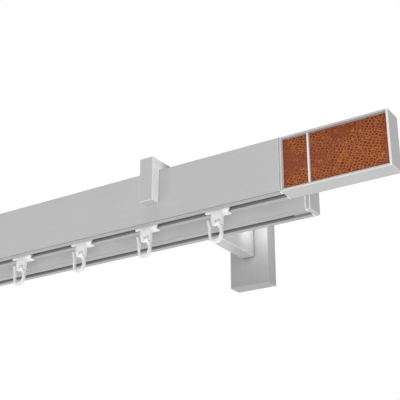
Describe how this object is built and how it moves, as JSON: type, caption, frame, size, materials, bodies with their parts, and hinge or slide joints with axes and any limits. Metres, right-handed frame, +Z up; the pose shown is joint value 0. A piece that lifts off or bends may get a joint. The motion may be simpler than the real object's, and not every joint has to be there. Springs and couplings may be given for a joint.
{
  "type": "double curtain rod",
  "caption": "Double curtain rod: two slim inner-channel rails on flat wall brackets, white gliders with hooks, and leather-inlaid finials.",
  "frame": {"origin": "on the wall, midway between the two brackets, at the middle of the arms' height", "axes": "+X along the rods, to the right as seen from the room; +Y into the wall; +Z up"},
  "size_m": [1.138, 0.1412, 0.0829],
  "materials": {
    "rail": "satin anodised",
    "finial": "satin anodised",
    "bracket": "brushed upright",
    "steel": "zinc plated",
    "plug": "matt",
    "leather": "embossed with reptile scales",
    "glider": "satin white",
    "hook": "satin white"
  },
  "bodies": {
    "rails": {"front_rod": "rail", "rear_rod": "rail", "finial_frame_left": "finial", "finial_frame_right": "finial", "small_inlay_left": "leather", "small_inlay_right": "leather", "large_inlay_left": "leather", "large_inlay_right": "leather", "divider_left": "finial", "divider_right": "finial", "finial_plug_left": "plug", "finial_plug_right": "plug", "rear_cap_left": "rail", "rear_cap_right": "rail", "bracket_arm_left": "bracket", "bracket_arm_right": "bracket", "wall_box_left": "bracket", "wall_box_right": "bracket", "wall_plate_left": "steel", "wall_plate_right": "steel", "arm_screws": "steel", "clamp_screws": "steel", "clamp_nuts": "steel", "set_screws": "steel"},
    "glider_1": {"glider_1": "glider"},
    "glider_2": {"glider_2": "glider"},
    "glider_3": {"glider_3": "glider"},
    "glider_4": {"glider_4": "glider"},
    "glider_5": {"glider_5": "glider"},
    "glider_6": {"glider_6": "glider"},
    "glider_7": {"glider_7": "glider"},
    "glider_8": {"glider_8": "glider"},
    "glider_9": {"glider_9": "glider"},
    "glider_10": {"glider_10": "glider"},
    "glider_11": {"glider_11": "glider"},
    "glider_12": {"glider_12": "glider"},
    "glider_13": {"glider_13": "glider"},
    "glider_14": {"glider_14": "glider"},
    "glider_15": {"glider_15": "glider"},
    "glider_16": {"glider_16": "glider"},
    "glider_17": {"glider_17": "glider"},
    "glider_18": {"glider_18": "glider"},
    "hook_1": {"hook_1": "hook"},
    "hook_2": {"hook_2": "hook"},
    "hook_3": {"hook_3": "hook"},
    "hook_4": {"hook_4": "hook"},
    "hook_5": {"hook_5": "hook"},
    "hook_6": {"hook_6": "hook"},
    "hook_7": {"hook_7": "hook"},
    "hook_8": {"hook_8": "hook"},
    "hook_9": {"hook_9": "hook"},
    "hook_10": {"hook_10": "hook"},
    "hook_11": {"hook_11": "hook"},
    "hook_12": {"hook_12": "hook"},
    "hook_13": {"hook_13": "hook"},
    "hook_14": {"hook_14": "hook"},
    "hook_15": {"hook_15": "hook"},
    "hook_16": {"hook_16": "hook"},
    "hook_17": {"hook_17": "hook"},
    "hook_18": {"hook_18": "hook"}
  },
  "joints": [
    {"name": "glide_1", "type": "slide", "parent": "rails", "child": "glider_1", "axis": [1, 0, 0], "range_m": [-0.018, 0.018]},
    {"name": "glide_2", "type": "slide", "parent": "rails", "child": "glider_2", "axis": [1, 0, 0], "range_m": [-0.018, 0.018]},
    {"name": "glide_3", "type": "slide", "parent": "rails", "child": "glider_3", "axis": [1, 0, 0], "range_m": [-0.018, 0.018]},
    {"name": "glide_4", "type": "slide", "parent": "rails", "child": "glider_4", "axis": [1, 0, 0], "range_m": [-0.018, 0.018]},
    {"name": "glide_5", "type": "slide", "parent": "rails", "child": "glider_5", "axis": [1, 0, 0], "range_m": [-0.018, 0.018]},
    {"name": "glide_6", "type": "slide", "parent": "rails", "child": "glider_6", "axis": [1, 0, 0], "range_m": [-0.018, 0.018]},
    {"name": "glide_7", "type": "slide", "parent": "rails", "child": "glider_7", "axis": [1, 0, 0], "range_m": [-0.018, 0.018]},
    {"name": "glide_8", "type": "slide", "parent": "rails", "child": "glider_8", "axis": [1, 0, 0], "range_m": [-0.018, 0.018]},
    {"name": "glide_9", "type": "slide", "parent": "rails", "child": "glider_9", "axis": [1, 0, 0], "range_m": [-0.018, 0.018]},
    {"name": "glide_10", "type": "slide", "parent": "rails", "child": "glider_10", "axis": [1, 0, 0], "range_m": [-0.018, 0.018]},
    {"name": "glide_11", "type": "slide", "parent": "rails", "child": "glider_11", "axis": [1, 0, 0], "range_m": [-0.018, 0.018]},
    {"name": "glide_12", "type": "slide", "parent": "rails", "child": "glider_12", "axis": [1, 0, 0], "range_m": [-0.018, 0.018]},
    {"name": "glide_13", "type": "slide", "parent": "rails", "child": "glider_13", "axis": [1, 0, 0], "range_m": [-0.018, 0.018]},
    {"name": "glide_14", "type": "slide", "parent": "rails", "child": "glider_14", "axis": [1, 0, 0], "range_m": [-0.018, 0.018]},
    {"name": "glide_15", "type": "slide", "parent": "rails", "child": "glider_15", "axis": [1, 0, 0], "range_m": [-0.018, 0.018]},
    {"name": "glide_16", "type": "slide", "parent": "rails", "child": "glider_16", "axis": [1, 0, 0], "range_m": [-0.018, 0.018]},
    {"name": "glide_17", "type": "slide", "parent": "rails", "child": "glider_17", "axis": [1, 0, 0], "range_m": [-0.018, 0.018]},
    {"name": "glide_18", "type": "slide", "parent": "rails", "child": "glider_18", "axis": [1, 0, 0], "range_m": [-0.018, 0.018]},
    {"name": "swing_1", "type": "hinge", "parent": "glider_1", "child": "hook_1", "pos_m": [-0.4515, -0.1268, -0.0346], "axis": [1, 0, 0], "range_deg": [-30, 30]},
    {"name": "swing_2", "type": "hinge", "parent": "glider_2", "child": "hook_2", "pos_m": [-0.39821, -0.1268, -0.0346], "axis": [1, 0, 0], "range_deg": [-30, 30]},
    {"name": "swing_3", "type": "hinge", "parent": "glider_3", "child": "hook_3", "pos_m": [-0.34491, -0.1268, -0.0346], "axis": [1, 0, 0], "range_deg": [-30, 30]},
    {"name": "swing_4", "type": "hinge", "parent": "glider_4", "child": "hook_4", "pos_m": [-0.29162, -0.1268, -0.0346], "axis": [1, 0, 0], "range_deg": [-30, 30]},
    {"name": "swing_5", "type": "hinge", "parent": "glider_5", "child": "hook_5", "pos_m": [-0.23832, -0.1268, -0.0346], "axis": [1, 0, 0], "range_deg": [-30, 30]},
    {"name": "swing_6", "type": "hinge", "parent": "glider_6", "child": "hook_6", "pos_m": [-0.18503, -0.1268, -0.0346], "axis": [1, 0, 0], "range_deg": [-30, 30]},
    {"name": "swing_7", "type": "hinge", "parent": "glider_7", "child": "hook_7", "pos_m": [-0.13173, -0.1268, -0.0346], "axis": [1, 0, 0], "range_deg": [-30, 30]},
    {"name": "swing_8", "type": "hinge", "parent": "glider_8", "child": "hook_8", "pos_m": [-0.07844, -0.1268, -0.0346], "axis": [1, 0, 0], "range_deg": [-30, 30]},
    {"name": "swing_9", "type": "hinge", "parent": "glider_9", "child": "hook_9", "pos_m": [-0.02515, -0.1268, -0.0346], "axis": [1, 0, 0], "range_deg": [-30, 30]},
    {"name": "swing_10", "type": "hinge", "parent": "glider_10", "child": "hook_10", "pos_m": [0.02815, -0.1268, -0.0346], "axis": [1, 0, 0], "range_deg": [-30, 30]},
    {"name": "swing_11", "type": "hinge", "parent": "glider_11", "child": "hook_11", "pos_m": [0.08144, -0.1268, -0.0346], "axis": [1, 0, 0], "range_deg": [-30, 30]},
    {"name": "swing_12", "type": "hinge", "parent": "glider_12", "child": "hook_12", "pos_m": [0.13473, -0.1268, -0.0346], "axis": [1, 0, 0], "range_deg": [-30, 30]},
    {"name": "swing_13", "type": "hinge", "parent": "glider_13", "child": "hook_13", "pos_m": [0.18803, -0.1268, -0.0346], "axis": [1, 0, 0], "range_deg": [-30, 30]},
    {"name": "swing_14", "type": "hinge", "parent": "glider_14", "child": "hook_14", "pos_m": [0.24132, -0.1268, -0.0346], "axis": [1, 0, 0], "range_deg": [-30, 30]},
    {"name": "swing_15", "type": "hinge", "parent": "glider_15", "child": "hook_15", "pos_m": [0.29462, -0.1268, -0.0346], "axis": [1, 0, 0], "range_deg": [-30, 30]},
    {"name": "swing_16", "type": "hinge", "parent": "glider_16", "child": "hook_16", "pos_m": [0.34791, -0.1268, -0.0346], "axis": [1, 0, 0], "range_deg": [-30, 30]},
    {"name": "swing_17", "type": "hinge", "parent": "glider_17", "child": "hook_17", "pos_m": [0.40121, -0.1268, -0.0346], "axis": [1, 0, 0], "range_deg": [-30, 30]},
    {"name": "swing_18", "type": "hinge", "parent": "glider_18", "child": "hook_18", "pos_m": [0.4545, -0.1268, -0.0346], "axis": [1, 0, 0], "range_deg": [-30, 30]}
  ]
}
